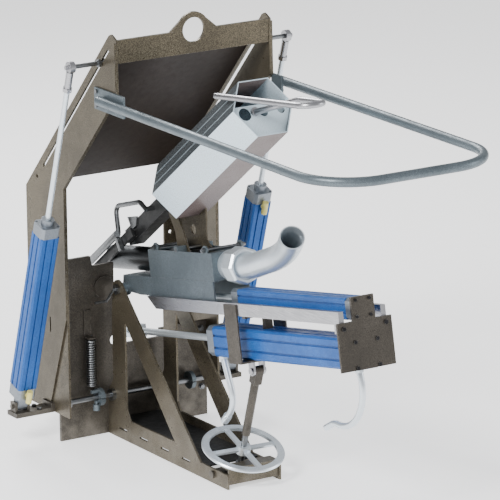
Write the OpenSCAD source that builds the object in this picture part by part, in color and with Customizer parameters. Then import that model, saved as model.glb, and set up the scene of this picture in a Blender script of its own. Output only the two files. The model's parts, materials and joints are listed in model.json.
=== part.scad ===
// Compact pneumatic gate and restraint head of a cattle squeeze chute.
// X runs across the machine, -Y forward to the operator, Z up; the back plate stands on y = 0, z = 0.

/* [Gantry] */
// Distance between the outer faces of the two gantry sides
gantry_w = 652; // [540:2:780]
// Thickness of a gantry side plate
gantry_t = 8; // [6:1:12]
// Thickness of the doubler plate on each side
doubler_t = 6; // [4:1:10]
// Rear edge of the gantry legs
leg_rear = 200; // [180:2:240]
// Depth of the gantry legs, front to back
leg_depth = 284; // [260:2:330]
// Height of the legs' lower end above the floor
leg_bottom = 107; // [90:1:130]
// Height of the rear bend between leg and slanted part
knee_z = 926; // [880:2:1000]
// Lean of the slanted part from upright
gate_lean = 43; // [40:1:45]
// Width of the slanted part, square to its slope
slant_w = 179; // [165:1:200]
// Height of the top of the gantry sides
gantry_top = 1596; // [1540:2:1640]
// Thickness of the top beam
beam_t = 10; // [8:1:14]
// Height of the top beam
beam_h = 84; // [70:1:100]
// Radius of the hole in the lifting eye
eye_hole_r = 44; // [30:1:50]
// Radius of the outside of the lifting eye
eye_r = 64; // [60:1:80]

/* [Gate] */
// Width of the sliding gate panel
panel_w = 524; // [400:2:560]
// Length of the gate panel below its pins
panel_len = 700; // [560:5:740]
// Thickness of the gate panel sheet
panel_t = 5; // [3:1:8]
// Radius of the gate shaft and of its guide pins
gate_pin_r = 8; // [6:0.5:10]
// Width of the slot that guides the gate shaft
slot_w = 18; // [16.6:0.1:20]
// Travel that the slot leaves for the gate shaft
slot_len = 690; // [600:5:700]

/* [Base] */
// Distance between the outer faces of the base side plates
base_w = 224; // [200:2:260]
// Thickness of the base side plates
base_t = 8; // [6:1:10]
// Length of the base in front of the back plate
base_len = 835; // [810:5:960]
// Thickness of the back plate
back_t = 12; // [8:1:12]
// Height of the high part of the back plate
back_h = 680; // [620:2:720]
// Height of the low part of the back plate
back_low_h = 362; // [345:1:400]

/* [Arm] */
// Tilt of the arm above level
arm_tilt = 10.5; // [8:0.5:13]
// Place of the arm's pivot in front of the back plate
arm_pivot_fwd = 90; // [80:1:110]
// Height of the arm's pivot
arm_pivot_z = 565; // [540:1:600]
// Distance from the pivot to the end plate
arm_len = 1463; // [1380:1:1600]
// Width of the arm channel
channel_w = 150; // [140:2:170]
// Height of a rail bar
rail_h = 44; // [36:1:50]
// Thickness of a rail bar
rail_t = 20; // [12:1:24]

/* [Cylinders] */
// Side of the square profile of the gate cylinders and of the upper cylinder
small_side = 75; // [70:1:76]
// Bore of the gate cylinders and of the upper cylinder
small_bore = 63; // [50:1:64]
// Rod diameter of the gate cylinders and of the upper cylinder
small_rod = 20; // [16:1:24]
// Side of the square profile of the lower cylinder
large_side = 108; // [106:1:112]
// Bore of the lower cylinder
large_bore = 96; // [80:1:98]
// Rod diameter of the lower cylinder
large_rod = 25; // [20:1:30]
// Length of a gate cylinder without its rod
gate_cyl_len = 767; // [700:1:800]

/* [Carriage] */
// Outside diameter of the suction pipe
pipe_d = 88.9; // [76:0.1:90]
// Wall of the suction pipe
pipe_wall = 4; // [2:0.5:6]
// Length of the clamp box on the channel
clamp_len = 444; // [380:2:480]
// Travel of the carriage towards the rear
carriage_travel = 140; // [100:5:150]

/* [Hood] */
// Length of one side of the hood's hexagon
hood_side = 122; // [110:1:135]
// Length of the hood
hood_len = 690; // [600:5:730]
// Wall of the hood
hood_wall = 4; // [3:0.5:6]
// Slope of the hood above level
hood_slope = 36.5; // [34:0.5:38]

/* [Bail] */
// Diameter of the bail tube
bail_d = 34; // [28:1:38]
// Reach of the bail in front of the back plate
bail_reach = 1887; // [1780:1:1960]
// Radius of the bail's corners
bail_corner = 200; // [120:5:240]

/* [Jack] */
// Diameter of the handwheel
wheel_d = 300; // [250:2:340]
// Diameter of the jack screw
screw_d = 22; // [18:1:26]
// Outside diameter of the jack tube
jack_tube_d = 30; // [28:1:38]

/* [Hidden] */

$fn = 48;
big = 3000;             // longer than anything that it cuts
fit = 0.05;             // radial clearance of a running fit
gap = 0.5;              // clearance between bodies that pass each other
seat = 0.02;            // clearance of a piece that is held in its seat
open_pivot_gap = 1;     // radial clearance of a pivot that closes a linkage

steel_dark = [0.36, 0.33, 0.30];
steel_tan = [0.52, 0.48, 0.41];
steel_blue = [0.48, 0.52, 0.54];
steel_bright = [0.80, 0.83, 0.86];
profile_blue = [0.16, 0.36, 0.68];
cast_grey = [0.52, 0.55, 0.57];
brass_yellow = [0.85, 0.76, 0.30];
panel_brown = [0.22, 0.18, 0.16];

// Gantry side outline, as (y, z) points
gantry_half = gantry_w / 2;
side_in = gantry_half - doubler_t - gantry_t;
side_mid = gantry_half - doubler_t;
leg_front = leg_rear - leg_depth;
slope_run = tan(gate_lean);
apex_y = leg_rear - (gantry_top - knee_z) * slope_run;
front_offset = slant_w / cos(gate_lean);
function rear_line_y(z) = leg_rear - (z - knee_z) * slope_run;
function front_line_y(z) = rear_line_y(z) - front_offset;
top_front_y = apex_y - 40;
front_knee_z = knee_z + (rear_line_y(knee_z) - front_offset - leg_front) / slope_run;
front_top_z = knee_z + (leg_rear - front_offset - (top_front_y - 4)) / slope_run;
gantry_outline = [
    [leg_rear, leg_bottom], [leg_rear, knee_z], [apex_y + 8, gantry_top - 6], [apex_y - 6, gantry_top + 1],
    [apex_y - 16, gantry_top - 2], [top_front_y, gantry_top - 14], [top_front_y - 4, front_top_z],
    [leg_front, front_knee_z], [leg_front, leg_bottom]
];

rear_hole_x = side_in - 30;
rear_hole_z = [240, 660];
rear_hole_r = 7;

// Gate frame: origin on the gate shaft, local -Z down the slope, local -Y to the front
slot_inset = 34;
gate_pin_z = 1485;
gate_pin_y = rear_line_y(gate_pin_z) - slot_inset / cos(gate_lean);
slot_above = 62;
panel_face = -26;
panel_above = 30;
panel_lip = 60;
lip_above = 20;
gate_tube_r = 14;

// Cylinders of the gate
side_axis_x = 446;
foot_pin_y = 57;
foot_pin_z = 146;
rod_eye_y = gate_pin_y;
gate_cyl_run = gate_pin_z - foot_pin_z;
gate_cyl_tilt = atan2(foot_pin_y - rod_eye_y, gate_cyl_run);
gate_cyl_reach = sqrt(pow(foot_pin_y - rod_eye_y, 2) + pow(gate_cyl_run, 2));
clevis_rise = 46;
eye_ball_r = 21;
eye_w = 20;
eye_shank = 96;
foot_pin_r = 8;
foot_bar_t = 17;
foot_bar_w = 70;

// Arm frame: origin on the arm's pivot, local -Y forward along the arm
base_half = base_w / 2;
base_in = base_half - base_t;
channel_half = channel_w / 2;
channel_top = 47;
channel_t = 6;
channel_len = 620;
rail_top = -20;
rail_start = 178;
end_t = 9;
upper_axis = -20;
lower_axis = -174;
upper_start = 675;
lower_start = 503;
head_len = 42;
pivot_pin_r = 12;
hanger_u = 760;
hanger_w = 82;
hanger_t = 6;
hanger_half = channel_half + rail_t + hanger_t;
hanger_low = lower_axis - large_side / 2 - 1;
jack_pin_u = 735;
jack_pin_w = -275;
jack_pin_r = 8;

// Carriage
clamp_start = 186;
clamp_low = channel_top + gap;
clamp_top = 147;
clamp_t = 6;
ear_h = 26;
pipe_r = pipe_d / 2;
pipe_axis = clamp_low + clamp_t / 2 + pipe_r + 2;
pipe_rear = -187;
nut_start = 670;
nut_len = 65;
elbow_roll = 45;
elbow_steps = [[45, 300, 12, 0], [107, 470, 25, elbow_roll], [40, 0, 0, 0]];
tongue_u = 400;
tongue_t = 16;

// Hood frame: origin at the centre of the hood's rear opening, local -Y forward along the hood
hood_y = -363;
hood_z = 979;
hood_plate_t = 5;
hood_plate_at = hood_len - 14 - hood_plate_t;
hood_arm_side = 60;
hood_arm_len = 418;
hood_pin_y = -441;
hood_pin_z = 783;
hood_pin_r = 8;
strut_in = hood_arm_side / 2;
strut_t = 6;
lug_half = 13;
lug_low = 24;
ear_r_clamp = 16;

// Jack frame: origin on the trunnion, local Z up along the screw
function arm_y(u, w) = -arm_pivot_fwd - u * cos(arm_tilt) + w * sin(arm_tilt);
function arm_z(u, w) = arm_pivot_z + u * sin(arm_tilt) + w * cos(arm_tilt);
trunnion_y = -735;
trunnion_z = 32;
jack_pin_y = arm_y(jack_pin_u, jack_pin_w);
jack_pin_z = arm_z(jack_pin_u, jack_pin_w);
jack_lean = atan2(trunnion_y - jack_pin_y, jack_pin_z - trunnion_z);
jack_reach = sqrt(pow(trunnion_y - jack_pin_y, 2) + pow(jack_pin_z - trunnion_z, 2));
trunnion_r = 20;
trunnion_pin_r = 10;
wheel_rise = 86;
screw_r = screw_d / 2;
jack_lug = 16;

// Cross shaft
shaft_y = -46;
shaft_z = 157;
shaft_r = 10;
collar_x = 163;
collar_r = 33;
collar_t = 16;
spring_x = 196;
spring_y = -34;
spring_r = 20;
spring_low = 200;
spring_high = 375;

// Bail
bail_z = 1355;
bail_x = 350;
bail_r = bail_d / 2;
// Bail ends per side: start of the tube, then rear, front, bottom and top of its bracket
bail_left = [390, -334, -534, 1316, 1394];
bail_right = [470, -454, -522, 1318, 1380];

// ---------------------------------------------------------------- helpers

// Extrudes a (y, z) outline along X from x0 over a thickness t
module slab_x(x0, t) {
    translate([x0, 0, 0]) rotate([90, 0, 90]) linear_extrude(t) children();
}

module rod_x(x0, x1, r) {
    translate([x0, 0, 0]) rotate([0, 90, 0]) cylinder(h = x1 - x0, r = r);
}

// Round bar along local -Y from u0 to u1
module bar_u(u0, u1, r) {
    translate([0, -u0, 0]) rotate([90, 0, 0]) cylinder(h = u1 - u0, r = r);
}

module block(x0, x1, y0, y1, z0, z1) {
    translate([x0, y0, z0]) cube([x1 - x0, y1 - y0, z1 - z0]);
}

module hex_head(r, h) {
    cylinder(h = h, r = r, $fn = 6);
}

module at_arm() {
    translate([0, -arm_pivot_fwd, arm_pivot_z]) rotate([-arm_tilt, 0, 0]) children();
}

module at_gate() {
    translate([0, gate_pin_y, gate_pin_z]) rotate([gate_lean, 0, 0]) children();
}

module at_hood() {
    translate([0, hood_y, hood_z]) rotate([-hood_slope, 0, 0]) children();
}

module at_jack() {
    translate([0, trunnion_y, trunnion_z]) rotate([jack_lean, 0, 0]) children();
}

// Gate cylinder frame on one side: origin on the foot pin, Z along the rod
module at_gate_cylinder(side) {
    translate([side * side_axis_x, foot_pin_y, foot_pin_z]) rotate([gate_cyl_tilt, 0, 0]) children();
}

// Cylinder frame of the arm: origin at the rod end, Z from the head to the end plate
module at_arm_cylinder(start, axis) {
    at_arm() translate([0, -start, axis]) rotate([90, 0, 0]) children();
}

// Square with cut corners
module cut_square(side, cut) {
    h = side / 2;
    c = h - cut;
    polygon([[h, c], [c, h], [-c, h], [-h, c], [-h, -c], [-c, -h], [c, -h], [h, -c]]);
}

// Extruded cylinder profile with sensor grooves on all four sides
module profile(side, bore) {
    groove_w = side / 12;
    groove_d = side / 15;
    difference() {
        cut_square(side, side / 14);
        circle(d = bore, $fn = 72);
        for (a = [0:90:270]) rotate(a) for (s = [-1, 1])
            translate([side / 2 - groove_d, s * side / 5 - groove_w / 2]) square([groove_d + 1, groove_w]);
    }
}

// Cast end of a cylinder, with four corner screws and a bore for the rod
module cylinder_end(side, rod_hole, h) {
    screw_r = side / 17;
    screw_at = side * 0.377;
    difference() {
        linear_extrude(h) cut_square(side + 1, side / 7);
        translate([0, 0, -1]) cylinder(h = h + 2, r = rod_hole);
        for (x = [-1, 1]) for (y = [-1, 1])
            translate([x * screw_at, y * screw_at, -1]) cylinder(h = 7, r = screw_r);
    }
}

// ---------------------------------------------------------------- frame

module back_outline() {
    step_x = 169;
    mid_h = 642;
    notch_left = -channel_half - 4;
    notch_right = base_half;
    notch_z = 330;
    relief_r = 20;
    difference() {
        polygon([
            [-side_in, 0], [side_in, 0], [side_in, back_low_h], [notch_right, back_low_h],
            [notch_right, notch_z], [notch_left, notch_z], [notch_left, mid_h], [-step_x, mid_h],
            [-step_x - 8, back_h], [-side_in + 36, back_h], [-side_in, back_h - 60]
        ]);
        translate([notch_left, notch_z + relief_r]) circle(r = relief_r);
    }
}

module back_plate() {
    cover_x = -125;
    cover_z = 558;
    cover_r = 40;
    color(steel_dark) {
        translate([0, back_t / 2, 0]) rotate([90, 0, 0]) linear_extrude(back_t) back_outline();
        translate([cover_x, -back_t / 2 + 1, cover_z]) rotate([90, 0, 0]) cylinder(h = 9, r = cover_r);
    }
}

module base_outline() {
    back = back_t / 2;
    leg_back = 45;
    leg_fwd = 134;
    rail_top_rear = 82;
    rail_top_front = 54;
    apex_r = 34;
    slope_foot = 650;
    slot_h = 8;
    slot_l = 57;
    difference() {
        union() {
            polygon([
                [-back, 0], [-base_len, 0], [-base_len, rail_top_front], [-slope_foot, rail_top_front],
                [-arm_pivot_fwd - apex_r * 0.73, arm_pivot_z + apex_r * 0.68],
                [-arm_pivot_fwd + apex_r * 0.99, arm_pivot_z + apex_r * 0.1],
                [-leg_back, arm_pivot_z - 90], [-leg_back, 215], [-back, 160]
            ]);
            translate([-arm_pivot_fwd, arm_pivot_z]) circle(r = apex_r);
        }
        polygon([[-leg_fwd, 453], [-leg_fwd - 2, 116], [-leg_fwd - 26, rail_top_rear], [-478, rail_top_rear + 3]]);
        for (i = [0:3]) translate([-110 - i * 147 - slot_l / 2, 34]) square([slot_l, slot_h]);
        translate([-arm_pivot_fwd, arm_pivot_z]) circle(r = pivot_pin_r + seat);
        translate([trunnion_y, trunnion_z]) circle(r = trunnion_pin_r + fit);
        translate([shaft_y, shaft_z]) circle(r = shaft_r + 4);
    }
}

module base_plate(side) {
    color(steel_tan) slab_x(side > 0 ? base_in : -base_half, base_t) base_outline();
}

module front_channel() {
    low = 14;
    high = 74;
    depth = 56;
    t = 5;
    y0 = -base_len + 6;
    color(steel_tan) difference() {
        block(-base_in, base_in, y0, y0 + depth, low, high);
        block(-base_in - 1, base_in + 1, y0 + t, y0 + depth + 1, low + t, high - t);
    }
}

module floor_tray() {
    color([0.16, 0.16, 0.17]) block(-base_in, base_in, -690, -back_t / 2, 46, 52);
}

module gantry_plate(side) {
    flange_w = 56;
    flange_top = 790;
    knee_hole_y = 116;
    knee_hole_z = 975;
    x0 = side > 0 ? side_in : -side_mid;
    slot_end = gate_pin_z - (slot_len - slot_above) * cos(gate_lean);
    color(steel_tan) {
        difference() {
            slab_x(x0, gantry_t) difference() {
                polygon(gantry_outline);
                translate([knee_hole_y, knee_hole_z]) circle(r = 7);
            }
            at_gate() {
                block(-big, big, -slot_w / 2, slot_w / 2, slot_above - slot_len, slot_above);
                for (s = [slot_above, slot_above - slot_len])
                    translate([0, 0, s]) rod_x(-big, big, slot_w / 2);
            }
        }
        mirror([side > 0 ? 0 : 1, 0, 0]) difference() {
            block(side_in - flange_w, side_in, leg_rear - gantry_t, leg_rear, leg_bottom, flange_top);
            for (z = rear_hole_z) translate([rear_hole_x, leg_rear + 1, z]) rotate([90, 0, 0])
                cylinder(h = gantry_t + 2, r = rear_hole_r);
        }
    }
}

module doubler(side) {
    strip = 51;
    edge = leg_rear - strip;
    x0 = side > 0 ? side_mid : -gantry_half;
    slot_edge = slot_inset + slot_w / 2;
    edge_knee_z = knee_z + (leg_rear - edge - slot_edge / cos(gate_lean)) / slope_run;
    top_z = gate_pin_z + 50;
    color(steel_tan) slab_x(x0, doubler_t) difference() {
        polygon([
            [edge, 143], [edge, edge_knee_z],
            [rear_line_y(top_z) - slot_edge / cos(gate_lean), top_z],
            [top_front_y, gantry_top - 22], [top_front_y - 4, front_top_z],
            [leg_front, front_knee_z], [leg_front, 480], [41, 143]
        ]);
        for (i = [0:1]) translate([90 - i * 62, 390 + i * 20]) square([8, 56]);
    }
}

module top_beam() {
    top = gantry_top - 15;
    y0 = top_front_y + 2;
    neck = 34;
    color(steel_tan) translate([0, y0 + beam_t, 0]) rotate([90, 0, 0]) linear_extrude(beam_t) difference() {
        union() {
            translate([-side_in, top - beam_h]) square([2 * side_in, beam_h]);
            translate([0, top]) circle(r = eye_r, $fn = 72);
            polygon([
                [-eye_r - neck, top - 1], [-eye_r * 0.80, top + eye_r * 0.60], [eye_r * 0.80, top + eye_r * 0.60],
                [eye_r + neck, top - 1]
            ]);
        }
        translate([0, top]) circle(r = eye_hole_r, $fn = 72);
    }
}

module foot_bars() {
    reach = side_axis_x + 34;
    ear_gap = small_side / 2 - 12;
    ear_t = 10;
    color([0.30, 0.33, 0.38]) for (side = [-1, 1]) mirror([side > 0 ? 0 : 1, 0, 0]) difference() {
        union() {
            block(gantry_half, reach, foot_pin_y - foot_bar_w / 2, foot_pin_y + foot_bar_w / 2,
                foot_pin_z - 21 - foot_bar_t, foot_pin_z - 21);
            for (s = [-1, 1]) translate([side_axis_x + s * ear_gap - ear_t / 2, 0, 0])
                block(0, ear_t, foot_pin_y - 18, foot_pin_y + 18, foot_pin_z - 22, foot_pin_z + 16);
            block(side_mid, gantry_half + 8, foot_pin_y - foot_bar_w / 2, foot_pin_y + foot_bar_w / 2,
                foot_pin_z - 21 - foot_bar_t, 142);
            translate([0, foot_pin_y, foot_pin_z])
                rod_x(side_axis_x - ear_gap - 12, side_axis_x + ear_gap + 12, foot_pin_r);
        }
        block(side_in, side_mid, -big, big, -big, big);
    }
}

module bail_tube() {
    inner_x = bail_x - bail_corner;
    front = bail_reach - bail_corner;
    color(steel_blue) translate([0, 0, bail_z]) {
        for (side = [-1, 1]) {
            start = side < 0 ? bail_left[0] : bail_right[0];
            translate([side * bail_x, -start, 0]) rotate([90, 0, 0]) cylinder(h = front - start, r = bail_r);
            translate([side * inner_x, -front, 0]) mirror([side > 0 ? 0 : 1, 0, 0]) rotate([0, 0, -90])
                rotate_extrude(angle = 90) translate([bail_corner, 0]) circle(r = bail_r);
        }
        translate([0, -bail_reach, 0]) rod_x(-inner_x, inner_x, bail_r);
    }
}

module bail_brackets() {
    t = bail_x - bail_r - gantry_half + 1;
    color(steel_blue) for (side = [-1, 1]) mirror([side > 0 ? 0 : 1, 0, 0]) {
        b = side < 0 ? bail_left : bail_right;
        difference() {
            block(gantry_half, gantry_half + t, b[2], b[1], b[3], b[4]);
            translate([bail_x, -b[0] + 1, bail_z]) rotate([90, 0, 0]) cylinder(h = big, r = bail_r + seat);
        }
    }
}

module spring_strap() {
    color(steel_dark) {
        block(-spring_x - 14, -spring_x + 14, -back_t / 2 - 5, -back_t / 2, spring_high + 2, 480);
        block(-spring_x - 14, -spring_x + 14, spring_y - 10, -back_t / 2, spring_high + 2, spring_high + 7);
    }
}

module return_spring() {
    color(cast_grey) translate([-spring_x, spring_y, spring_low]) difference() {
        cylinder(h = spring_high - spring_low, r = spring_r);
        translate([0, 0, -1]) cylinder(h = spring_high - spring_low + 2, r = spring_r - 4);
    }
}

module frame_bolts() {
    head_r = 9;
    bracket_t = bail_x - bail_r - gantry_half + 1;
    back_bolts = [[-1, 110], [-1, 335], [-1, 500], [1, 110], [1, 335]];
    bracket_bolts = [[-1, -352, 1331], [-1, -352, 1381], [1, -468, 1327], [1, -508, 1327]];
    color(cast_grey) {
        for (b = back_bolts) translate([b[0] * 288, -back_t / 2, b[1]]) rotate([90, 0, 0]) {
            hex_head(head_r + 3, 3);
            hex_head(head_r, 10);
        }
        for (b = bracket_bolts) translate([0, b[1], b[2]]) mirror([b[0] > 0 ? 0 : 1, 0, 0])
            translate([gantry_half + bracket_t, 0, 0]) rotate([0, 90, 0]) hex_head(head_r - 1, 6);
        for (side = [-1, 1]) for (dy = [-20, 20]) mirror([side > 0 ? 0 : 1, 0, 0])
            translate([gantry_half + 52, foot_pin_y + dy, foot_pin_z - 21]) hex_head(head_r, 8);
    }
}

module arm_pivot_pin() {
    color(cast_grey) {
        translate([0, -arm_pivot_fwd, arm_pivot_z]) {
            rod_x(-base_half - 6, base_half + 6, pivot_pin_r);
            for (side = [-1, 1]) mirror([side > 0 ? 0 : 1, 0, 0]) translate([base_half, 0, 0])
                rotate([0, 90, 0]) hex_head(20, 10);
        }
        translate([-base_half - 16, -arm_pivot_fwd, arm_pivot_z]) {
            translate([0, 34, -34]) rotate([45, 0, 0]) cylinder(h = 62, r = 5, center = true);
            translate([-24, 56, -56]) rod_x(-24, 27, 5);
            rod_x(0, 8, 7);
            translate([0, 12, -12]) rotate([45, 0, 0]) cylinder(h = 34, r = 5, center = true);
        }
    }
}

module shaft_bushes() {
    bush_r = 22;
    bush_t = 14;
    color(cast_grey) for (side = [-1, 1]) mirror([side > 0 ? 0 : 1, 0, 0]) translate([0, shaft_y, shaft_z])
        for (x = [side_in - bush_t, base_half]) difference() {
            rod_x(x, x + bush_t, bush_r);
            rod_x(x - 1, x + bush_t + 1, shaft_r + fit);
        }
}

// ---------------------------------------------------------------- cross shaft

module cross_shaft() {
    color(cast_grey) translate([0, shaft_y, shaft_z]) rod_x(-side_in + 1, side_in - 1, shaft_r);
}

module shaft_collars() {
    lever_r = 7;
    knob_z = 122;
    knob_h = 22;
    out_left = -collar_x - collar_t;
    right_x = 207;
    color(steel_blue) {
        translate([0, shaft_y, shaft_z]) for (x0 = [out_left, right_x]) difference() {
            rod_x(x0, x0 + collar_t, collar_r);
            rod_x(x0 - 1, x0 + collar_t + 1, shaft_r + seat);
            block(x0 - 1, x0 + collar_t + 1, -big, -shaft_r - 2, -2, 2);
        }
        translate([0, shaft_y - 4, shaft_z + 24]) rod_x(-spring_x - 12, out_left + 1, lever_r);
        translate([0, shaft_y - 6, shaft_z - 16]) rod_x(-collar_x - 32, out_left + 1, 5.5);
        translate([-collar_x - 26, shaft_y - 8, knob_z]) {
            cylinder(h = 23, r = 5);
            translate([0, 0, -knob_h / 2]) cylinder(h = knob_h, r = 13);
        }
    }
}

// ---------------------------------------------------------------- gate

module gate_panel() {
    half = panel_w / 2;
    rib_half = 20;
    color(panel_brown) at_gate() {
        block(-half, half, panel_face, panel_face + panel_t, -panel_len, panel_above);
        difference() {
            for (side = [-1, 1]) mirror([side > 0 ? 0 : 1, 0, 0])
                block(half - panel_t, half, panel_face, panel_face + panel_lip, -panel_len, lip_above);
            rod_x(-half - 1, half + 1, gate_tube_r + seat);
        }
        block(-half, half, panel_face, panel_face + panel_lip, -panel_len, -panel_len + panel_t);
        for (x = [-half / 3, half / 3])
            block(x - rib_half, x + rib_half, panel_face + panel_t - 1, panel_face + 14, -panel_len + 1, -40);
    }
}

module gate_shaft() {
    end_x = side_axis_x - eye_w / 2 - 1;
    lug = 8;
    lug_half = 16;
    color(cast_grey) at_gate() {
        rod_x(-end_x, end_x, gate_pin_r);
        rod_x(-side_in + 4, side_in - 4, gate_tube_r);
        for (side = [-1, 1]) for (f = [0.9, 0.35]) translate([side * panel_w / 2 * f - lug / 2, 0, 0])
            block(0, lug, panel_face + panel_t + seat, 0, -lug_half, lug_half);
        for (side = [-1, 1]) mirror([side > 0 ? 0 : 1, 0, 0]) rod_x(gantry_half + 2, gantry_half + 12, gate_tube_r);
    }
}

module barrel(side) {
    color(profile_blue) at_gate_cylinder(side) translate([0, 0, clevis_rise + head_len])
        linear_extrude(gate_cyl_len - clevis_rise - 2 * head_len) profile(small_side, small_bore);
}

module cylinder_ends(side) {
    neck_r = 23.5;
    neck = 24;
    tail_r = 18;
    tail_w = 2 * (small_side / 2 - 12) - 12;
    color(cast_grey) at_gate_cylinder(side) {
        translate([0, 0, clevis_rise]) cylinder_end(small_side, small_rod / 2 + 3, head_len);
        translate([0, 0, gate_cyl_len]) rotate([180, 0, 0])
            cylinder_end(small_side, small_rod / 2 + fit, head_len);
        translate([0, 0, gate_cyl_len - 2]) difference() {
            cylinder(h = neck, r = neck_r);
            translate([0, 0, -1]) cylinder(h = neck + 2, r = small_rod / 2 + fit);
        }
        difference() {
            union() {
                rod_x(-tail_w / 2, tail_w / 2, tail_r);
                block(-tail_w / 2, tail_w / 2, -tail_r, tail_r, 0, clevis_rise + 12);
            }
            rod_x(-small_side, small_side, foot_pin_r + fit);
        }
    }
}

module gate_rod(side) {
    piston_h = 30;
    low = gate_cyl_len - head_len - piston_h - 20;
    color(steel_bright) at_gate_cylinder(side) {
        translate([0, 0, low]) cylinder(h = gate_cyl_reach - eye_shank - low, r = small_rod / 2);
        translate([0, 0, low]) cylinder(h = piston_h, r = small_bore / 2 - fit);
    }
}

module rod_eye(side) {
    color([0.86, 0.88, 0.90]) at_gate_cylinder(side) {
        translate([0, 0, gate_cyl_reach]) {
            rod_x(-eye_w / 2, eye_w / 2, eye_ball_r);
            rod_x(-eye_w / 2 - (side < 0 ? 12 : 0), eye_w / 2 + (side > 0 ? 12 : 0), gate_pin_r);
        }
        translate([0, 0, gate_cyl_reach - eye_shank]) {
            cylinder(h = eye_shank - eye_ball_r + 2, r = 13);
            cylinder(h = 14, r = 18, $fn = 6);
        }
    }
}

module port_fitting(side) {
    drop = 30;
    body_r = 11;
    body_h = 48;
    stand_off = 15;
    z0 = side < 0 ? clevis_rise + head_len / 2 : gate_cyl_len - head_len / 2 - drop;
    color(brass_yellow) at_gate_cylinder(side) translate([0, -small_side / 2, z0]) {
        translate([0, -0.5, 0]) rotate([90, 0, 0]) cylinder(h = stand_off, r = body_r - 2);
        translate([0, -stand_off, -body_h / 2]) cylinder(h = body_h, r = body_r);
    }
}

// ---------------------------------------------------------------- arm

module arm_channel() {
    side_low = rail_top - rail_h + 2;
    lug_r = 28;
    slot_half = tongue_t / 2 + 3;
    mouth_half = pipe_r * 1.1;
    mouth_from = clamp_start + clamp_len - carriage_travel - 5;
    boss_r = 20;
    color(steel_blue) at_arm() difference() {
        union() {
            for (side = [-1, 1]) mirror([side > 0 ? 0 : 1, 0, 0]) {
                slab_x(channel_half - channel_t, channel_t) {
                    polygon([
                        [22, 16], [12, channel_top], [-channel_len, channel_top], [-channel_len, side_low],
                        [-rail_start - 60, side_low], [-rail_start - 30, rail_top - 2], [-100, rail_top - 2],
                        [-24, -14]
                    ]);
                    circle(r = lug_r);
                }
                rod_x(channel_half - 1, base_in - gap, boss_r);
            }
            block(-channel_half, channel_half, -channel_len, 12, channel_top - channel_t, channel_top);
        }
        rod_x(-base_half, base_half, pivot_pin_r + fit);
        block(-slot_half, slot_half, -tongue_u - 40, -tongue_u + carriage_travel + 40,
            channel_top - channel_t - 1, channel_top + 1);
        // Mouth that the nut and its collar enter as the carriage slides back
        block(-mouth_half, mouth_half, -channel_len - 1, -mouth_from,
            channel_top - channel_t - 1, channel_top + 1);
        translate([0, -channel_len - 1, 0]) block(-small_side / 2 - 4, small_side / 2 + 4, 0, 2, -big, 14);
    }
}

module rails() {
    lug_h = 32;
    lug_l = 34;
    color([0.62, 0.60, 0.57]) at_arm() for (side = [-1, 1]) mirror([side > 0 ? 0 : 1, 0, 0]) {
        slab_x(channel_half, rail_t) polygon([
            [-rail_start, rail_top], [-arm_len, rail_top], [-arm_len, rail_top - rail_h - lug_h],
            [-arm_len + lug_l, rail_top - rail_h - lug_h], [-arm_len + lug_l, rail_top - rail_h],
            [-rail_start - 56, rail_top - rail_h]
        ]);
    }
}

module end_plate() {
    wide = 2 * (channel_half + rail_t) + 29;
    stem = 92;
    top = 24;
    shoulder = -58;
    low = -226;
    color([0.38, 0.38, 0.35]) at_arm() translate([0, -arm_len, 0]) rotate([90, 0, 0])
        linear_extrude(end_t) {
            translate([-wide / 2, low]) square([wide, shoulder - low]);
            translate([-stem / 2, shoulder - 1]) square([stem, top - shoulder + 1]);
        }
}

module end_plate_bolts() {
    lower_pitch = 89;
    upper_pitch = 56.5;
    rail_x = channel_half + rail_t / 2;
    color([0.20, 0.20, 0.20]) at_arm() translate([0, -arm_len - end_t, 0]) rotate([90, 0, 0]) {
        for (x = [-1, 1]) {
            for (y = [-1, 1]) {
                translate([x * lower_pitch / 2, lower_axis + y * lower_pitch / 2]) cylinder(h = 4, r = 7);
                translate([x * upper_pitch / 2, upper_axis + 4 + y * upper_pitch / 2]) cylinder(h = 4, r = 6);
            }
            translate([x * rail_x, rail_top - rail_h - 15]) cylinder(h = 5, r = 8);
        }
    }
}

module cylinder_hangers() {
    saddle_u = 839;
    saddle_half = 10;
    saddle_w = 15;
    rail_low = rail_top - rail_h;
    color([0.34, 0.31, 0.28]) at_arm() {
        translate([0, -hanger_u - hanger_w / 2, 0]) {
            for (side = [-1, 1]) mirror([side > 0 ? 0 : 1, 0, 0])
                block(hanger_half - hanger_t, hanger_half, 0, hanger_w, hanger_low - hanger_t, rail_top - 4);
            block(-hanger_half, hanger_half, 0, hanger_w, hanger_low - hanger_t, hanger_low);
        }
        translate([0, -saddle_u, 0]) {
            block(-channel_half - rail_t, channel_half + rail_t, -saddle_half, saddle_half, rail_low - 8, rail_low);
            block(-saddle_w, saddle_w, -saddle_half, saddle_half, lower_axis + large_side / 2, rail_low - 7);
        }
    }
}

module lower_barrel() {
    color(profile_blue) at_arm_cylinder(lower_start + head_len, lower_axis)
        linear_extrude(arm_len - lower_start - 2 * head_len) profile(large_side, large_bore);
}

module arm_cylinder_ends(start, axis, side, rod_d, neck) {
    at_arm_cylinder(start, axis) {
        cylinder_end(side, rod_d / 2 + fit, head_len);
        translate([0, 0, -neck]) difference() {
            cylinder(h = neck + 1, r = rod_d / 2 + 10);
            translate([0, 0, -1]) cylinder(h = neck + 3, r = rod_d / 2 + fit);
        }
        translate([0, 0, arm_len - start - head_len]) difference() {
            linear_extrude(head_len) cut_square(side + 1, side / 7);
            translate([0, 0, -1]) cylinder(h = head_len - 8, r = rod_d / 2 + 3);
        }
    }
}

module lower_ends() {
    color(cast_grey) arm_cylinder_ends(lower_start, lower_axis, large_side, large_rod, 8);
}

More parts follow.
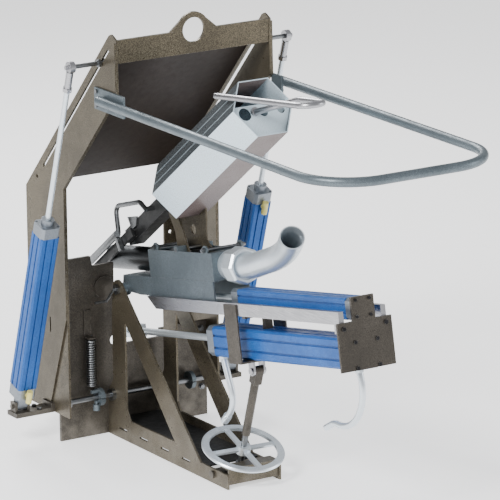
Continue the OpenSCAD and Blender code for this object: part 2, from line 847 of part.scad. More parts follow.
module lower_rod() {
    rear_u = -95;
    piston_u = lower_start + head_len + 12;
    fork_w = 46;
    fork_gap = 22;
    color(steel_bright) at_arm() translate([0, 0, lower_axis]) {
        bar_u(rear_u + 30, piston_u + 20, large_rod / 2);
        bar_u(piston_u, piston_u + 36, large_bore / 2 - fit);
        difference() {
            translate([0, -rear_u - 34, 0]) block(-fork_w / 2, fork_w / 2, 0, 78, -fork_w / 2, fork_w / 2);
            translate([0, -rear_u, 0]) block(-fork_gap / 2, fork_gap / 2, 0, 60, -fork_w, fork_w);
            translate([0, -rear_u + 24, 0]) rod_x(-fork_w, fork_w, 8);
        }
    }
}

module upper_barrel() {
    color(profile_blue) at_arm_cylinder(upper_start + head_len, upper_axis)
        linear_extrude(arm_len - upper_start - 2 * head_len) profile(small_side, small_bore);
}

module upper_ends() {
    color(cast_grey) arm_cylinder_ends(upper_start, upper_axis, small_side, small_rod, 6);
}

module upper_rod() {
    piston_u = arm_len - head_len - 50;
    color(steel_bright) at_arm() translate([0, 0, upper_axis]) {
        bar_u(tongue_u + 22, piston_u + 10, small_rod / 2);
        bar_u(piston_u, piston_u + 30, small_bore / 2 - fit);
    }
}

module ring(r, bore) {
    difference() {
        circle(r = r);
        if (bore > 0) circle(r = bore);
    }
}

// Bent bar or tube: each step is [straight length, bend radius, bend angle, roll]; it heads along Z and bends
// to +Y, with a low bead over each joint of a straight length and a bend
module bent_bar(r, bore, steps, i = 0) {
    bead = 1.2;
    bead_rise = 0.4;
    part = 0.3;
    if (i < len(steps)) {
        l = steps[i][0];
        bend_r = steps[i][1];
        bend = steps[i][2];
        rotate([0, 0, steps[i][3]]) {
            translate([0, 0, i > 0 ? part : 0]) linear_extrude(l - (i > 0 ? part : 0) - (bend > 0 ? part : 0))
                ring(r, bore);
            if (i > 0) translate([0, 0, -bead]) linear_extrude(2 * bead) ring(r + bead_rise, bore - part);
            if (bend > 0) {
                translate([0, 0, l - bead]) linear_extrude(2 * bead) ring(r + bead_rise, bore - part);
                translate([0, bend_r, l]) rotate([90, 0, -90]) rotate_extrude(angle = bend)
                    translate([bend_r, 0]) ring(r, bore);
                translate([0, bend_r, l]) rotate([-bend, 0, 0]) translate([0, -bend_r, 0])
                    bent_bar(r, bore, steps, i + 1) children();
            } else translate([0, 0, l]) children();
        }
    }
}

module air_pipes() {
    r = 11.5;
    start = lower_axis - large_side / 2;
    nut_h = 9;
    front = [[112, 86, 72, 180], [24, 0, 0, 0]];
    rear = [[14, 148, 115, 180], [12, 60, 30, 180], [46, 0, 0, 0]];
    end_step = 0.5;
    into = [0, 0, 5];
    places = [[-30, -lower_start - 57, start], [-20, -arm_len + 24, start - end_step]];
    leans = [163, 165.5];
    color([0.84, 0.86, 0.88]) at_arm() {
        translate(places[0] - into) rotate([leans[0], 0, 0]) bent_bar(r, 0, front)
            translate([0, 0, -10]) cylinder(h = 34, r = r + 4);
        translate(places[1] - into) rotate([leans[1], 0, 0]) bent_bar(r, 0, rear);
        for (p = places) translate(p - [0, 0, nut_h]) cylinder(h = nut_h - seat, r = 17, $fn = 6);
    }
}

module jack_clevis() {
    ear_t = 7;
    ear_r = 17;
    inner = jack_lug + 1;
    outer = inner + ear_t;
    head = 6;
    top = hanger_low - hanger_t;
    color([0.66, 0.70, 0.74]) at_arm() translate([0, -jack_pin_u, jack_pin_w]) {
        for (side = [-1, 1]) mirror([side > 0 ? 0 : 1, 0, 0]) {
            block(inner, outer, -ear_r, ear_r, 0, top - jack_pin_w);
            rod_x(inner, outer, ear_r);
            rod_x(outer - 1, outer + head, ear_r * 0.7);
        }
        rod_x(-outer - head, outer + head, jack_pin_r);
    }
}

// ---------------------------------------------------------------- carriage

module clamp_box() {
    end = clamp_start + clamp_len;
    side_in_x = channel_half - clamp_t;
    strip = 40;
    ear_u = [clamp_start + 56, end - 43];
    ear_w = clamp_top + ear_h - ear_r_clamp;
    tongue_half = 22;
    color(steel_blue) at_arm() {
        difference() {
            union() {
                for (side = [-1, 1]) mirror([side > 0 ? 0 : 1, 0, 0]) {
                    block(side_in_x, channel_half, -end, -clamp_start, clamp_low, clamp_top);
                    for (u = ear_u) {
                        block(side_in_x, channel_half, -u - ear_r_clamp, -u + ear_r_clamp, clamp_top - 1, ear_w);
                        translate([0, -u, ear_w]) rod_x(side_in_x, channel_half, ear_r_clamp);
                    }
                    translate([0, -hood_pin_u(), hood_pin_w()])
                        block(lug_in(), channel_half - 1, -lug_half, lug_half, -lug_low, lug_half);
                }
                block(-channel_half, channel_half, -end, -clamp_start, clamp_low, clamp_low + clamp_t);
                for (y = [-end, -clamp_start - clamp_t])
                    block(-channel_half, channel_half, y, y + clamp_t, clamp_low, clamp_top);
                for (y = [-end, -clamp_start - strip])
                    block(-channel_half, channel_half, y, y + strip, clamp_top - clamp_t, clamp_top);
                block(-tongue_t / 2, tongue_t / 2, -tongue_u - tongue_half, -tongue_u + tongue_half,
                    upper_axis - 16, clamp_low + 1);
            }
            translate([0, 0, pipe_axis]) bar_u(clamp_start - 1, end + 1, pipe_r + seat);
            for (u = ear_u) translate([0, -u, ear_w]) rod_x(-channel_half - 1, channel_half + 1, 6 + seat);
            translate([0, -hood_pin_u(), hood_pin_w()]) rod_x(-channel_half - 1, channel_half + 1, hood_pin_r + seat);
        }
        translate([0, 0, upper_axis]) bar_u(tongue_u + 10, tongue_u + tongue_half, 15);
    }
}

// Inner face of the lugs that hold the hood's pin, and the pin's place in the arm frame
function lug_in() = strut_in + strut_t + gap;
function hood_pin_u() =
    -(hood_pin_y + arm_pivot_fwd) * cos(arm_tilt) + (hood_pin_z - arm_pivot_z) * sin(arm_tilt);
function hood_pin_w() =
    (hood_pin_z - arm_pivot_z) * cos(arm_tilt) + (hood_pin_y + arm_pivot_fwd) * sin(arm_tilt);

module clamp_bolts() {
    end = clamp_start + clamp_len;
    bolt_w = clamp_top + ear_h - ear_r_clamp;
    head_r = 9.5;
    head_h = 9;
    color(cast_grey) at_arm() {
        translate([0, -hood_pin_u(), hood_pin_w()]) rod_x(-channel_half, channel_half, hood_pin_r);
        for (u = [clamp_start + 56, end - 43]) translate([0, -u, bolt_w]) {
            rod_x(-channel_half - head_h - 5, channel_half + head_h + 9, 6);
            for (side = [-1, 1]) mirror([side > 0 ? 0 : 1, 0, 0])
                for (x = [channel_half + seat, channel_half - clamp_t - head_h - seat])
                    translate([x, 0, 0]) rotate([0, 90, 0]) hex_head(head_r, head_h);
        }
    }
}

module suction_pipe() {
    color([0.66, 0.66, 0.68]) at_arm() translate([0, 0, pipe_axis]) difference() {
        bar_u(pipe_rear, nut_start + nut_len / 2, pipe_r);
        bar_u(pipe_rear - 1, nut_start + nut_len / 2 + 1, pipe_r - pipe_wall);
    }
}

module union_nut() {
    nut_r = pipe_r * 1.53;
    chamfer = 7;
    collar_r = pipe_r * 1.21;
    mouth_r = 51;
    mouth = 12;
    collar_from = clamp_start + clamp_len + seat;
    color(steel_bright) at_arm() translate([0, -nut_start, pipe_axis]) rotate([90, 0, 0]) difference() {
        union() {
            cylinder(h = chamfer, r1 = nut_r - chamfer, r2 = nut_r, $fn = 8);
            translate([0, 0, chamfer]) cylinder(h = nut_len - 2 * chamfer, r = nut_r, $fn = 8);
            translate([0, 0, nut_len - chamfer]) cylinder(h = chamfer, r1 = nut_r, r2 = nut_r - chamfer, $fn = 8);
            translate([0, 0, collar_from - nut_start]) cylinder(h = nut_start - collar_from + 1, r = collar_r);
        }
        translate([0, 0, -nut_start]) cylinder(h = nut_start + nut_len + 1, r = pipe_r + seat);
        translate([0, 0, nut_len - mouth]) cylinder(h = mouth + 1, r = mouth_r);
    }
}

module elbow() {
    start = nut_start + nut_len / 2 + seat;
    color(steel_bright) at_arm() translate([0, -start, pipe_axis]) rotate([90, 0, 0])
        bent_bar(pipe_r, pipe_r - pipe_wall, elbow_steps);
}

// ---------------------------------------------------------------- hood

function hexagon(r) = [for (a = [0:60:300]) [r * cos(a), r * sin(a)]];

// Point of the side view at a distance behind the hood's opening and a height above its axis
function hood_point(back, up) = [
    hood_y + back * cos(hood_slope) + up * sin(hood_slope),
    hood_z - back * sin(hood_slope) + up * cos(hood_slope)
];

module hood_shell() {
    ridge = 2;
    apothem = hood_side * cos(30);
    color([0.70, 0.76, 0.80]) at_hood() rotate([90, 0, 0]) {
        difference() {
            linear_extrude(hood_len) polygon(hexagon(hood_side));
            translate([0, 0, -1]) linear_extrude(hood_len + 2) polygon(hexagon(hood_side - hood_wall / cos(30)));
        }
        for (k = [-1, 1]) rotate([0, 0, 150]) translate([apothem - 1, k * hood_side * 0.18 - ridge / 2, 0])
            cube([ridge, ridge, hood_len]);
    }
}

module hood_end_plate() {
    inner = hood_side - hood_wall / cos(30) - seat;
    top = 18;
    holes = [[-70, 24], [5, 17], [76, 15]];
    hole_low = 12;
    color([0.62, 0.62, 0.72]) at_hood() rotate([90, 0, 0]) translate([0, 0, hood_plate_at])
        linear_extrude(hood_plate_t) difference() {
            intersection() {
                polygon(hexagon(inner));
                translate([-big / 2, -big]) square([big, big + top]);
            }
            for (h = holes) translate([h[0], -hole_low]) circle(r = h[1]);
        }
}

module hood_arm() {
    half = hood_arm_side / 2;
    wall = 5;
    into = 150;
    web_back = 40;
    web_h = hood_side * cos(30) - half;
    flat_x = -50;
    flat_t = 10;
    flat_end = 661;
    color([0.20, 0.20, 0.21]) at_hood() {
        difference() {
            block(-half, half, -into, hood_arm_len, -half, half);
            block(-half + wall, half - wall, -into - 1, hood_arm_len + 1, -half + wall, half - wall);
        }
        for (s = [-1, 1]) block(-half, half, -into, -web_back, s > 0 ? half : -half - web_h + hood_wall + seat,
            s > 0 ? half + web_h - hood_wall - seat : -half);
        block(flat_x - flat_t, flat_x, hood_arm_len - 90, flat_end, -28, 6);
        block(flat_x - 1, -half + 1, hood_arm_len - 70, hood_arm_len - 10, -24, 2);
    }
}

module hood_struts() {
    hole_y = -391;
    hole_z = 834;
    hole_r = 18;
    eye_r = 16;
    under = -hood_side * cos(30) - gap - 1;
    narrow = [
        hood_point(68, -5), [-336, 884], [-376, 830], [-389, 785], [-441, 779], [-471, 777], [-398, 886],
        hood_point(27, -60), hood_point(27, -5)
    ];
    wide = [
        hood_point(118, -5), [-302, 856], [-368, 755], [-441, 770], [-512, 795], [-480, 813],
        hood_point(-64, under), hood_point(2, under), hood_point(2, -5)
    ];
    color(steel_tan) for (side = [-1, 1]) slab_x(side < 0 ? -strut_in - strut_t : strut_in, strut_t)
        difference() {
            union() {
                polygon(side < 0 ? narrow : wide);
                translate([hood_pin_y, hood_pin_z]) circle(r = eye_r);
            }
            if (side > 0) translate([hole_y, hole_z]) circle(r = hole_r);
            translate([hood_pin_y, hood_pin_z]) circle(r = hood_pin_r + fit);
        }
}

module loop_handle() {
    r = 11;
    heading = 82.6;
    steps = [[532, 45, 180, -90], [129, 60, 12, -90], [292, 0, 0, 0]];
    foot_back = -hood_plate_at - hood_plate_t - seat;
    foot_x = -30;
    foot_up = -9;
    color([0.78, 0.80, 0.82]) {
        translate([-120, -805, 1423]) rotate([heading, 0, 0]) bent_bar(r, 0, steps);
        at_hood() translate([foot_x, foot_back, foot_up]) rotate([90, 0, 0]) cylinder(h = 9, r = 16);
    }
}

module grip_handle() {
    bar_r = 13.5;
    bar_x = -73.5;
    bar_up = 17.5;
    loop_r = 9;
    loop_steps = [[65, 35, 84, 180], [140, 30, 40, 0], [40, 0, 0, 0]];
    loop_x = -62;
    plate_x = -hood_arm_side / 2;
    color(cast_grey) at_hood() {
        translate([bar_x, 402, bar_up]) rotate([-90, 0, 0]) cylinder(h = 259, r = bar_r);
        translate([loop_x, 411, 25]) rotate([25.8, 0, 0]) bent_bar(loop_r, 0, loop_steps);
        translate([loop_x, 411, bar_up]) rotate([0, -20, 0]) cylinder(h = 14, r = loop_r);
        translate([0, 176, 12]) rod_x(loop_x, plate_x - seat, loop_r);
        slab_x(plate_x - 6, 6 - seat) polygon([[360, 60], [296, 34], [322, 8], [360, 8]]);
        block(-80, -62, 408, 424, -44, bar_up);
    }
}

// ---------------------------------------------------------------- jack

module trunnion_block() {
    color(steel_dark) translate([0, trunnion_y, trunnion_z]) difference() {
        union() {
            rod_x(-base_in + gap, base_in - gap, trunnion_r);
            rod_x(-base_half - 2, base_half + 2, trunnion_pin_r);
            for (side = [-1, 1]) mirror([side > 0 ? 0 : 1, 0, 0]) rod_x(base_half + gap, base_half + 8, 14);
        }
        rotate([jack_lean, 0, 0]) cylinder(h = 200, r = screw_r + fit, center = true);
    }
}

module jack_screw() {
    stub = 26;
    top = jack_reach - 70;
    color(cast_grey) at_jack() {
        translate([0, 0, -stub]) cylinder(h = stub + top, r = screw_r);
        for (z = [trunnion_r + gap, -stub]) translate([0, 0, z]) cylinder(h = z > 0 ? 8 : 4, r = z > 0 ? 19 : 13);
    }
}

module handwheel() {
    rim_w = 27;
    rim_h = 12;
    hub_r = 26;
    hub_h = 30;
    rim_r = wheel_d / 2;
    spoke_w = 20;
    spoke_h = 8;
    spokes = 4;
    first = -2;
    color([0.80, 0.82, 0.85]) at_jack() translate([0, 0, wheel_rise]) difference() {
        union() {
            rotate_extrude($fn = 96) polygon([
                [rim_r - rim_w, -rim_h / 2], [rim_r - 4, -rim_h / 2], [rim_r, -2], [rim_r, 2],
                [rim_r - 4, rim_h / 2], [rim_r - rim_w, rim_h / 2]
            ]);
            cylinder(h = hub_h, r = hub_r, center = true);
            for (i = [0:spokes - 1]) rotate([0, 0, i * 360 / spokes + first])
                translate([hub_r - 4, -spoke_w / 2, -spoke_h / 2])
                    cube([rim_r - rim_w - hub_r + 6, spoke_w, spoke_h]);
        }
        cylinder(h = hub_h + 2, r = screw_r, center = true);
    }
}

module jack_tube() {
    r = jack_tube_d / 2;
    low = wheel_rise + 62;
    eye_r = 17;
    top = jack_reach - 44;
    spare = 19;
    color([0.34, 0.30, 0.27]) at_jack() difference() {
        union() {
            translate([0, 0, low]) cylinder(h = top - low, r = r);
            block(-jack_lug, jack_lug, -eye_r, eye_r, top - 8, jack_reach);
            translate([0, 0, jack_reach]) rod_x(-jack_lug, jack_lug, eye_r);
        }
        translate([0, 0, low - 1]) cylinder(h = top - low + 1 + spare, r = screw_r + fit);
        translate([0, 0, jack_reach]) rod_x(-jack_lug - 1, jack_lug + 1, jack_pin_r + open_pivot_gap);
    }
}

back_plate();
base_plate(-1);  // base_plate_left
base_plate(1);  // base_plate_right
front_channel();
floor_tray();
gantry_plate(-1);  // gantry_plate_left
gantry_plate(1);  // gantry_plate_right
doubler(-1);  // doubler_left
doubler(1);  // doubler_right
top_beam();
foot_bars();
bail_tube();
bail_brackets();
spring_strap();
return_spring();
frame_bolts();
arm_pivot_pin();
shaft_bushes();
cross_shaft();
shaft_collars();
gate_panel();
gate_shaft();
barrel(-1);  // barrel_left
cylinder_ends(-1);  // cylinder_ends_left
gate_rod(-1);  // rod_left
rod_eye(-1);  // rod_eye_left
barrel(1);  // barrel_right
cylinder_ends(1);  // cylinder_ends_right
gate_rod(1);  // rod_right
rod_eye(1);  // rod_eye_right
port_fitting(-1);  // port_fitting_left
port_fitting(1);  // port_fitting_right
arm_channel();
rails();
end_plate();
end_plate_bolts();
cylinder_hangers();
lower_barrel();
lower_ends();
lower_rod();
upper_barrel();
upper_ends();
upper_rod();
air_pipes();
jack_clevis();
clamp_box();
clamp_bolts();
suction_pipe();
union_nut();
elbow();
hood_shell();
hood_end_plate();
hood_arm();
hood_struts();
loop_handle();
grip_handle();
trunnion_block();
jack_screw();
handwheel();
jack_tube();
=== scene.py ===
"""Looks of the squeeze chute head unit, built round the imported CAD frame. Metres, the row frame, +Z up."""

import json
import math

import bmesh
import bpy
from mathutils import Matrix, Vector


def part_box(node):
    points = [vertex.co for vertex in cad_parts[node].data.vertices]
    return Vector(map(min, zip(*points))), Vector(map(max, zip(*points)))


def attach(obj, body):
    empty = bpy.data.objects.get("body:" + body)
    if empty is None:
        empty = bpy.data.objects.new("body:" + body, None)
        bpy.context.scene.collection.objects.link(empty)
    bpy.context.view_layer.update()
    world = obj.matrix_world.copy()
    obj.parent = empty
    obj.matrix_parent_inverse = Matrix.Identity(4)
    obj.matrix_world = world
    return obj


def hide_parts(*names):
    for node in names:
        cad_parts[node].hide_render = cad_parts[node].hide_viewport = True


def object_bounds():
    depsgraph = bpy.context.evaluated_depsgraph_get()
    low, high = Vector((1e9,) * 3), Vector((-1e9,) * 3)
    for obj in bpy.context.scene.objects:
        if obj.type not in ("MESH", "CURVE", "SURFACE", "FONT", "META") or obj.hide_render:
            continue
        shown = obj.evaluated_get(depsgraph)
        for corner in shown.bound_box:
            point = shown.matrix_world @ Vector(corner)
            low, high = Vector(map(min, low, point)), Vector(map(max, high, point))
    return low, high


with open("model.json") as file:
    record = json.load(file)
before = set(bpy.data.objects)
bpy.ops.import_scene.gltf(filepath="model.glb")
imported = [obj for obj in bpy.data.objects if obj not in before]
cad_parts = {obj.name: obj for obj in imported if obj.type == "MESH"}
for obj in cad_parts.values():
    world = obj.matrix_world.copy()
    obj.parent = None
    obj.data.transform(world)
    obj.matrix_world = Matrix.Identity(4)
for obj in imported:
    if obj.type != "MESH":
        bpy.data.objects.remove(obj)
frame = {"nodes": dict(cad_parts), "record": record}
cad_low, cad_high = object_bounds()

MM = 0.001


# ---------------------------------------------------------------- camera, lights and floor

CAMERA_AZIMUTH = -31.82
CAMERA_ELEVATION = 15.06
CAMERA_ROLL = -0.67
CAMERA_DISTANCE = 17.72
CAMERA_AIM = Vector((0.5103, 0.0, 0.5971))
CAMERA_LENS = 344.4


def make_camera():
    azimuth = math.radians(CAMERA_AZIMUTH)
    elevation = math.radians(CAMERA_ELEVATION)
    back = Vector((
        math.sin(azimuth) * math.cos(elevation),
        -math.cos(azimuth) * math.cos(elevation),
        math.sin(elevation),
    ))
    right = Vector((math.cos(azimuth), math.sin(azimuth), 0))
    turn = Matrix((right, back.cross(right), back)).transposed()
    roll = Matrix.Rotation(math.radians(CAMERA_ROLL), 3, "Z")
    data = bpy.data.cameras.new("camera")
    data.lens = CAMERA_LENS
    data.clip_end = 100
    camera = bpy.data.objects.new("camera", data)
    bpy.context.collection.objects.link(camera)
    camera.matrix_world = Matrix.Translation(CAMERA_AIM + back * CAMERA_DISTANCE) @ (turn @ roll).to_4x4()
    bpy.context.scene.camera = camera


def make_light(name, position, size, power, tint=(1, 1, 1)):
    data = bpy.data.lights.new(name, "AREA")
    data.energy = power
    data.size = size
    data.color = tint
    light = bpy.data.objects.new(name, data)
    bpy.context.collection.objects.link(light)
    light.location = position
    centre = (cad_low + cad_high) / 2
    light.rotation_euler = (centre - Vector(position)).to_track_quat("-Z", "Y").to_euler()


def make_world():
    world = bpy.data.worlds.new("studio")
    bpy.context.scene.world = world
    world.use_nodes = True
    background = world.node_tree.nodes["Background"]
    background.inputs["Color"].default_value = (0.97, 0.98, 1.0, 1)
    background.inputs["Strength"].default_value = 0.55


def make_floor():
    mesh = bpy.data.meshes.new("floor")
    half = 30
    corners = [(-half, -half, 0), (half, -half, 0), (half, half, 0), (-half, half, 0)]
    mesh.from_pydata(corners, [], [(0, 1, 2, 3)])
    floor = bpy.data.objects.new("floor", mesh)
    bpy.context.collection.objects.link(floor)
    floor.location.z = cad_low.z - 0.5 * MM
    material = bpy.data.materials.new("floor")
    material.use_nodes = True
    shader = material.node_tree.nodes["Principled BSDF"]
    shader.inputs["Base Color"].default_value = (0.97, 0.97, 0.97, 1)
    shader.inputs["Roughness"].default_value = 0.8
    shader.inputs["Emission Color"].default_value = (1, 1, 1, 1)
    shader.inputs["Emission Strength"].default_value = 0.9
    mesh.materials.append(material)


make_camera()
make_world()
make_light("key", (-5.0, -3.0, 5.0), 2.0, 520)
make_light("fill", (5.0, -4.0, 2.5), 3.0, 110, (0.95, 0.97, 1.0))
make_light("back", (1.0, 4.5, 4.5), 2.5, 260)
make_floor()


# ---------------------------------------------------------------- materials

class Graph:
    """A material's node tree, with short calls for the nodes that the finishes share."""

    def __init__(self, name):
        self.material = bpy.data.materials.new(name)
        self.material.use_nodes = True
        self.tree = self.material.node_tree
        self.shader = self.tree.nodes["Principled BSDF"]
        coords = self.tree.nodes.new("ShaderNodeTexCoord")
        self.place = coords.outputs["Object"]

    def link(self, source, target):
        self.tree.links.new(source, target)

    def set(self, node, **values):
        for name, value in values.items():
            socket = node.inputs[name.replace("_", " ")]
            if isinstance(value, bpy.types.NodeSocket):
                self.link(value, socket)
            else:
                socket.default_value = value

    def stretched(self, scale):
        node = self.tree.nodes.new("ShaderNodeMapping")
        node.inputs["Scale"].default_value = scale
        self.link(self.place, node.inputs["Vector"])
        return node.outputs["Vector"]

    def noise(self, scale, detail=3.0, rough=0.55, stretch=None):
        node = self.tree.nodes.new("ShaderNodeTexNoise")
        self.link(self.stretched(stretch) if stretch else self.place, node.inputs["Vector"])
        self.set(node, Scale=scale, Detail=detail, Roughness=rough)
        return node.outputs["Fac"]

    def ramp(self, value, low, high, out_low=0.0, out_high=1.0):
        node = self.tree.nodes.new("ShaderNodeMapRange")
        node.clamp = True
        self.link(value, node.inputs["Value"])
        for name, number in zip(("From Min", "From Max", "To Min", "To Max"), (low, high, out_low, out_high)):
            node.inputs[name].default_value = number
        return node.outputs["Result"]

    def math(self, operation, a, b):
        node = self.tree.nodes.new("ShaderNodeMath")
        node.operation = operation
        node.use_clamp = True
        for socket, value in zip(node.inputs, (a, b)):
            if isinstance(value, bpy.types.NodeSocket):
                self.link(value, socket)
            else:
                socket.default_value = value
        return node.outputs["Value"]

    def mix(self, factor, a, b):
        node = self.tree.nodes.new("ShaderNodeMix")
        node.data_type = "RGBA"
        self.link(factor, node.inputs["Factor"])
        for socket, value in ((node.inputs[6], a), (node.inputs[7], b)):
            if isinstance(value, bpy.types.NodeSocket):
                self.link(value, socket)
            else:
                socket.default_value = (*value, 1)
        return node.outputs[2]

    def edges(self, radius):
        """1 near the shape's edges, 0 on its faces."""
        rounded = self.tree.nodes.new("ShaderNodeBevel")
        rounded.samples = 4
        rounded.inputs["Radius"].default_value = radius
        flat = self.tree.nodes.new("ShaderNodeNewGeometry")
        dot = self.tree.nodes.new("ShaderNodeVectorMath")
        dot.operation = "DOT_PRODUCT"
        self.link(rounded.outputs["Normal"], dot.inputs[0])
        self.link(flat.outputs["Normal"], dot.inputs[1])
        return self.ramp(dot.outputs["Value"], 0.97, 0.80)

    def height(self, z_low, z_high):
        """1 at and below z_low, 0 from z_high up."""
        split = self.tree.nodes.new("ShaderNodeSeparateXYZ")
        self.link(self.place, split.inputs["Vector"])
        return self.ramp(split.outputs["Z"], z_low, z_high, 1.0, 0.0)

    def facing(self, direction, low, high):
        """1 where the surface faces the direction, 0 where it doesn't."""
        flat = self.tree.nodes.new("ShaderNodeNewGeometry")
        dot = self.tree.nodes.new("ShaderNodeVectorMath")
        dot.operation = "DOT_PRODUCT"
        self.link(flat.outputs["True Normal"], dot.inputs[0])
        dot.inputs[1].default_value = Vector(direction).normalized()
        return self.ramp(dot.outputs["Value"], low, high)

    def bump(self, height, distance, strength=1.0):
        node = self.tree.nodes.new("ShaderNodeBump")
        node.inputs["Distance"].default_value = distance
        node.inputs["Strength"].default_value = strength
        self.link(height, node.inputs["Height"])
        self.link(node.outputs["Normal"], self.shader.inputs["Normal"])


def paint(name, base, speck, metallic=0.55, rough=(0.30, 0.48), wear=(0.55, 0.53, 0.50), worn=0.6, dusty=0.0,
          gloss=0.25):
    """Satin metallic paint: fine flake, soft clouds, worn edges and dust low down."""
    g = Graph(name)
    flake = g.ramp(g.noise(420, 2.0, 0.7), 0.42, 0.62)
    clouds = g.ramp(g.noise(5, 4.0), 0.35, 0.65)
    colour = g.mix(flake, base, speck)
    colour = g.mix(g.math("MULTIPLY", clouds, 0.45), colour, tuple(0.62 * c for c in base))
    if dusty:
        dust = g.math("MULTIPLY", g.height(0.02, 0.35), g.ramp(g.noise(14, 5.0), 0.35, 0.7))
        colour = g.mix(g.math("MULTIPLY", dust, dusty), colour, (0.34, 0.31, 0.26))
    chips = g.ramp(g.noise(60, 4.0, 0.7), 0.46, 0.60)
    edge = g.math("MULTIPLY", g.edges(1.6 * MM), chips)
    colour = g.mix(g.math("MULTIPLY", edge, worn), colour, wear)
    scuffs = g.ramp(g.noise(40, 4.0, 0.6), 0.3, 0.7, *rough)
    g.set(g.shader, Base_Color=colour, Roughness=scuffs, Metallic=metallic, Specular_IOR_Level=gloss)
    g.bump(g.noise(500, 2.0), 0.05 * MM, 0.5)
    return g.material


def brushed(name, base, dark, along="X", metallic=1.0, rough=(0.24, 0.42), depth=0.03, scale=1.0):
    """Metal with fine lines along one axis and faint clouding."""
    g = Graph(name)
    fine = 900 * scale
    stretch = {"X": (0.02, 1, 1), "Y": (1, 0.02, 1), "Z": (1, 1, 0.02), "": (1, 1, 1)}[along]
    lines = g.noise(fine, 3.0, 0.6, stretch)
    clouds = g.ramp(g.noise(9, 4.0), 0.35, 0.65)
    colour = g.mix(g.ramp(lines, 0.35, 0.65), base, dark)
    colour = g.mix(g.math("MULTIPLY", clouds, 0.3), colour, dark)
    grime = g.ramp(g.noise(30, 5.0, 0.65), 0.58, 0.75)
    colour = g.mix(g.math("MULTIPLY", grime, 0.35), colour, tuple(0.5 * c for c in dark))
    g.set(g.shader, Base_Color=colour, Roughness=g.ramp(lines, 0.3, 0.7, *rough), Metallic=metallic)
    g.bump(lines, depth * MM, 0.5)
    return g.material


def moulded(name, base, second):
    g = Graph(name)
    clouds = g.ramp(g.noise(60, 3.0), 0.35, 0.65)
    grain = g.ramp(g.noise(200), 0.3, 0.7, 0.35, 0.55)
    g.set(g.shader, Base_Color=g.mix(clouds, base, second), Roughness=grain)
    g.bump(g.noise(700, 2.0), 0.04 * MM, 0.4)
    return g.material


def hood_skin():
    """Brushed sheet, light painted in by face direction: pale on the lower flanks, a brown painted shade on
    the underside, a dark painted shade on the upper faces.
    """
    g = Graph("hood_sheet")
    lines = g.noise(700, 3.0, 0.6, (1, 0.02, 1))
    clouds = g.ramp(g.noise(6, 4.0), 0.35, 0.65)
    # painted light by face direction: this pale colour is the lit copy of the sheet, kept on faces the shade
    # masks below leave alone
    lit_flank_colour = g.mix(g.ramp(lines, 0.35, 0.65), (0.66, 0.78, 0.84), (0.56, 0.68, 0.76))
    underside_shade_colour = g.mix(clouds, (0.135, 0.105, 0.10), (0.17, 0.14, 0.135))
    dark = g.mix(lines, (0.055, 0.065, 0.07), (0.14, 0.155, 0.165))
    # painted shade: faces turned down and forward take the brown shade colour
    below = g.facing((0, -0.59, -0.80), 0.90, 0.99)
    colour = g.mix(below, lit_flank_colour, underside_shade_colour)
    # painted shade: faces turned up and to the left are painted dark
    colour = g.mix(g.facing((-0.87, 0.30, 0.40), 0.90, 0.99), colour, dark)
    # the same painted underside shade also drops metallic and specular there, so the shaded faces get no
    # sheen
    g.set(g.shader, Base_Color=colour, Roughness=g.ramp(lines, 0.3, 0.7, 0.22, 0.34),
          Metallic=g.ramp(below, 0, 1, 0.35, 0), Specular_IOR_Level=g.ramp(below, 0, 1, 0.5, 0.1))
    g.bump(lines, 0.02 * MM, 0.5)
    return g.material


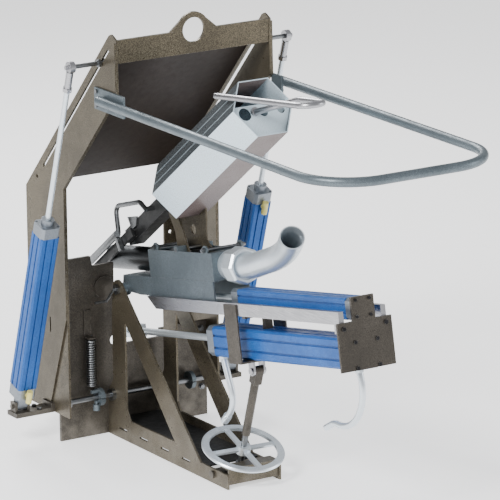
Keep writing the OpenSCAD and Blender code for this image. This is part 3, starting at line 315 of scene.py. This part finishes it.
def make_finishes():
    return {
        "frame_paint": paint("frame_paint", (0.048, 0.040, 0.029), (0.20, 0.17, 0.115), rough=(0.26, 0.40),
                             dusty=0.25),
        "plate_paint": paint("plate_paint", (0.050, 0.045, 0.038), (0.12, 0.105, 0.088), dusty=0.4),
        "panel_paint": paint("panel_paint", (0.014, 0.009, 0.007), (0.028, 0.019, 0.015), metallic=0.2,
                             rough=(0.34, 0.46), worn=0.3, gloss=0.18),
        "arm_paint": paint("arm_paint", (0.10, 0.125, 0.14), (0.19, 0.225, 0.25)),
        "black_paint": paint("black_paint", (0.015, 0.016, 0.017), (0.045, 0.045, 0.045), metallic=0.3),
        "hood_sheet": hood_skin(),
        "blue_profile": paint("blue_profile", (0.012, 0.075, 0.30), (0.03, 0.16, 0.50), metallic=0.1,
                              wear=(0.45, 0.48, 0.52), worn=0.3),
        "cast_metal": brushed("cast_metal", (0.30, 0.33, 0.36), (0.20, 0.22, 0.25), along="", metallic=0.8,
                              rough=(0.34, 0.5), depth=0.1, scale=0.6),
        "polished_steel": brushed("polished_steel", (0.78, 0.84, 0.88), (0.66, 0.72, 0.77), along="",
                                  metallic=0.75, rough=(0.26, 0.38)),
        "bright_steel": brushed("bright_steel", (0.50, 0.50, 0.51), (0.34, 0.34, 0.36), "Y"),
        "pipe_steel": brushed("pipe_steel", (0.10, 0.108, 0.115), (0.05, 0.053, 0.056), "Y",
                              rough=(0.26, 0.40)),
        "plated_steel": brushed("plated_steel", (0.26, 0.27, 0.28), (0.15, 0.155, 0.16), "X"),
        "dark_bolts": paint("dark_bolts", (0.012, 0.012, 0.013), (0.04, 0.04, 0.042), metallic=0.7),
        "yellow_plastic": moulded("yellow_plastic", (0.62, 0.53, 0.13), (0.74, 0.67, 0.24)),
    }


FINISHES = make_finishes()


def finish_nodes():
    for part in frame["record"]["subparts"]:
        node = frame["nodes"][part["node"]]
        node.data.materials.clear()
        node.data.materials.append(FINISHES[part["material_slot"]])


finish_nodes()


# ---------------------------------------------------------------- return spring

SPRING_TURNS = 21
SPRING_WIRE = 3.0 * MM
SPRING_STEPS = 32
WIRE_SIDES = 10


def make_spring():
    """Close-wound coil in place of the CAD's plain sleeve, with a flat closing turn at each end."""
    low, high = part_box("return_spring")
    centre = (low + high) / 2
    radius = (high.x - low.x) / 2 - SPRING_WIRE
    rise = high.z - low.z - 2 * SPRING_WIRE
    count = SPRING_TURNS * SPRING_STEPS
    mesh = bmesh.new()
    rings = []
    for step in range(count + 1):
        turn = 2 * math.pi * step / SPRING_STEPS
        climb = min(max(step - SPRING_STEPS, 0), count - 2 * SPRING_STEPS) / (count - 2 * SPRING_STEPS)
        out = Vector((math.cos(turn), math.sin(turn), 0))
        heart = Vector((centre.x, centre.y, low.z + SPRING_WIRE + rise * climb)) + out * radius
        around = [2 * math.pi * k / WIRE_SIDES for k in range(WIRE_SIDES)]
        rings.append([
            mesh.verts.new(heart + SPRING_WIRE * (out * math.cos(a) + Vector((0, 0, math.sin(a)))))
            for a in around
        ])
    for this, following in zip(rings, rings[1:]):
        for k in range(WIRE_SIDES):
            after = (k + 1) % WIRE_SIDES
            mesh.faces.new((this[k], this[after], following[after], following[k])).smooth = True
    mesh.faces.new(rings[0])
    mesh.faces.new(reversed(rings[-1]))
    bmesh.ops.recalc_face_normals(mesh, faces=mesh.faces)
    data = bpy.data.meshes.new("spring_coil")
    mesh.to_mesh(data)
    mesh.free()
    data.materials.append(FINISHES["plated_steel"])
    coil = bpy.data.objects.new("spring_coil", data)
    bpy.context.collection.objects.link(coil)
    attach(coil, "frame")
    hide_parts("return_spring")


make_spring()
